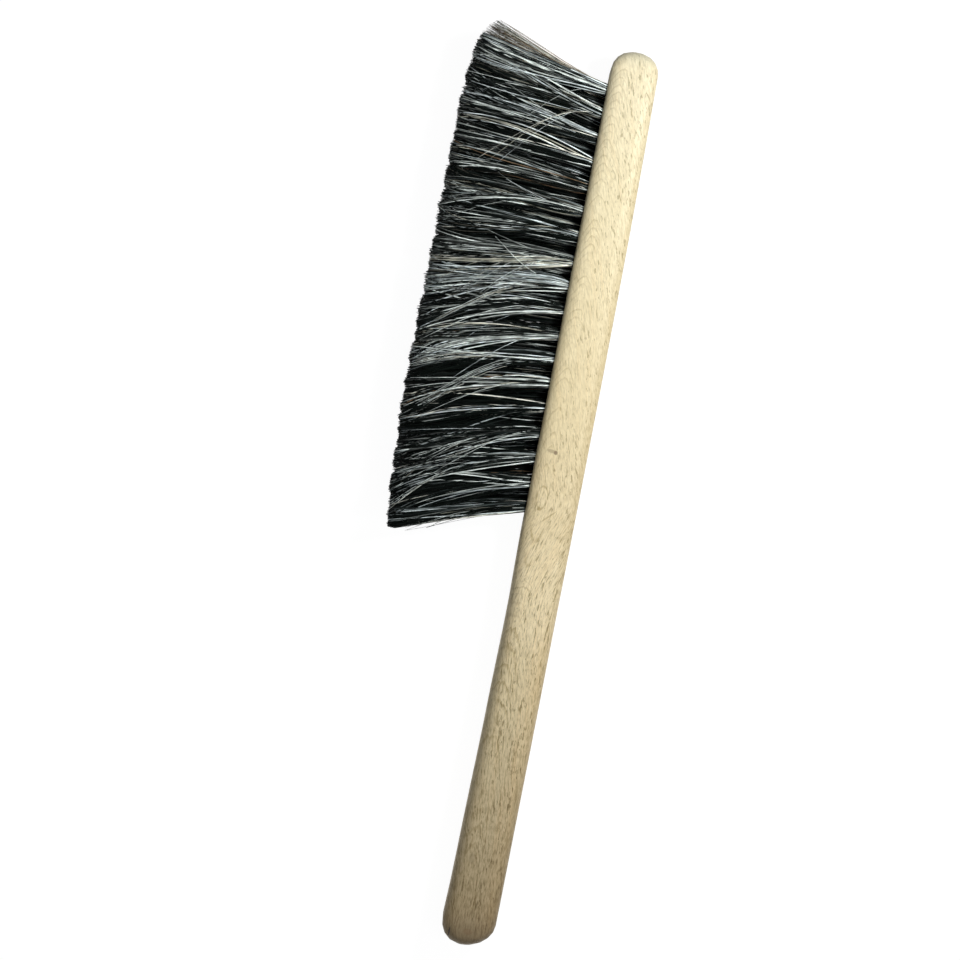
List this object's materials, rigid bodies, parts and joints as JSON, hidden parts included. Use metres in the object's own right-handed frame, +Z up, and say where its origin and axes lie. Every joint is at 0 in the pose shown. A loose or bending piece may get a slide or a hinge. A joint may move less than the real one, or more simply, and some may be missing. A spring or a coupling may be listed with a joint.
{
  "type": "cleaning brush",
  "caption": "Straight wooden hand brush lying on its side: a rounded block and plain handle in a single piece, with staggered, fanned tufts of dark hair set along the block's edge.",
  "frame": {"origin": "on the side face that the brush lies on, half way along the tuft field and midway between the face with the hair and the back", "axes": "+Y along the stock towards its toe, -X the way the hair points, +Z up through the stock's thickness"},
  "size_m": [0.0902, 0.4202, 0.026],
  "materials": {
    "beech": "bare sanded beech",
    "horsehair": "glossy dark and grey horsehair"
  },
  "bodies": {
    "root": {"stock": "beech", "tuft_lower_01": "horsehair", "tuft_lower_02": "horsehair", "tuft_lower_03": "horsehair", "tuft_lower_04": "horsehair", "tuft_lower_05": "horsehair", "tuft_lower_06": "horsehair", "tuft_lower_07": "horsehair", "tuft_lower_08": "horsehair", "tuft_lower_09": "horsehair", "tuft_lower_10": "horsehair", "tuft_lower_11": "horsehair", "tuft_lower_12": "horsehair", "tuft_lower_13": "horsehair", "tuft_lower_14": "horsehair", "tuft_lower_15": "horsehair", "tuft_lower_16": "horsehair", "tuft_lower_17": "horsehair", "tuft_lower_18": "horsehair", "tuft_middle_01": "horsehair", "tuft_middle_02": "horsehair", "tuft_middle_03": "horsehair", "tuft_middle_04": "horsehair", "tuft_middle_05": "horsehair", "tuft_middle_06": "horsehair", "tuft_middle_07": "horsehair", "tuft_middle_08": "horsehair", "tuft_middle_09": "horsehair", "tuft_middle_10": "horsehair", "tuft_middle_11": "horsehair", "tuft_middle_12": "horsehair", "tuft_middle_13": "horsehair", "tuft_middle_14": "horsehair", "tuft_middle_15": "horsehair", "tuft_middle_16": "horsehair", "tuft_middle_17": "horsehair", "tuft_upper_01": "horsehair", "tuft_upper_02": "horsehair", "tuft_upper_03": "horsehair", "tuft_upper_04": "horsehair", "tuft_upper_05": "horsehair", "tuft_upper_06": "horsehair", "tuft_upper_07": "horsehair", "tuft_upper_08": "horsehair", "tuft_upper_09": "horsehair", "tuft_upper_10": "horsehair", "tuft_upper_11": "horsehair", "tuft_upper_12": "horsehair", "tuft_upper_13": "horsehair", "tuft_upper_14": "horsehair", "tuft_upper_15": "horsehair", "tuft_upper_16": "horsehair", "tuft_upper_17": "horsehair", "tuft_upper_18": "horsehair"}
  },
  "joints": []
}
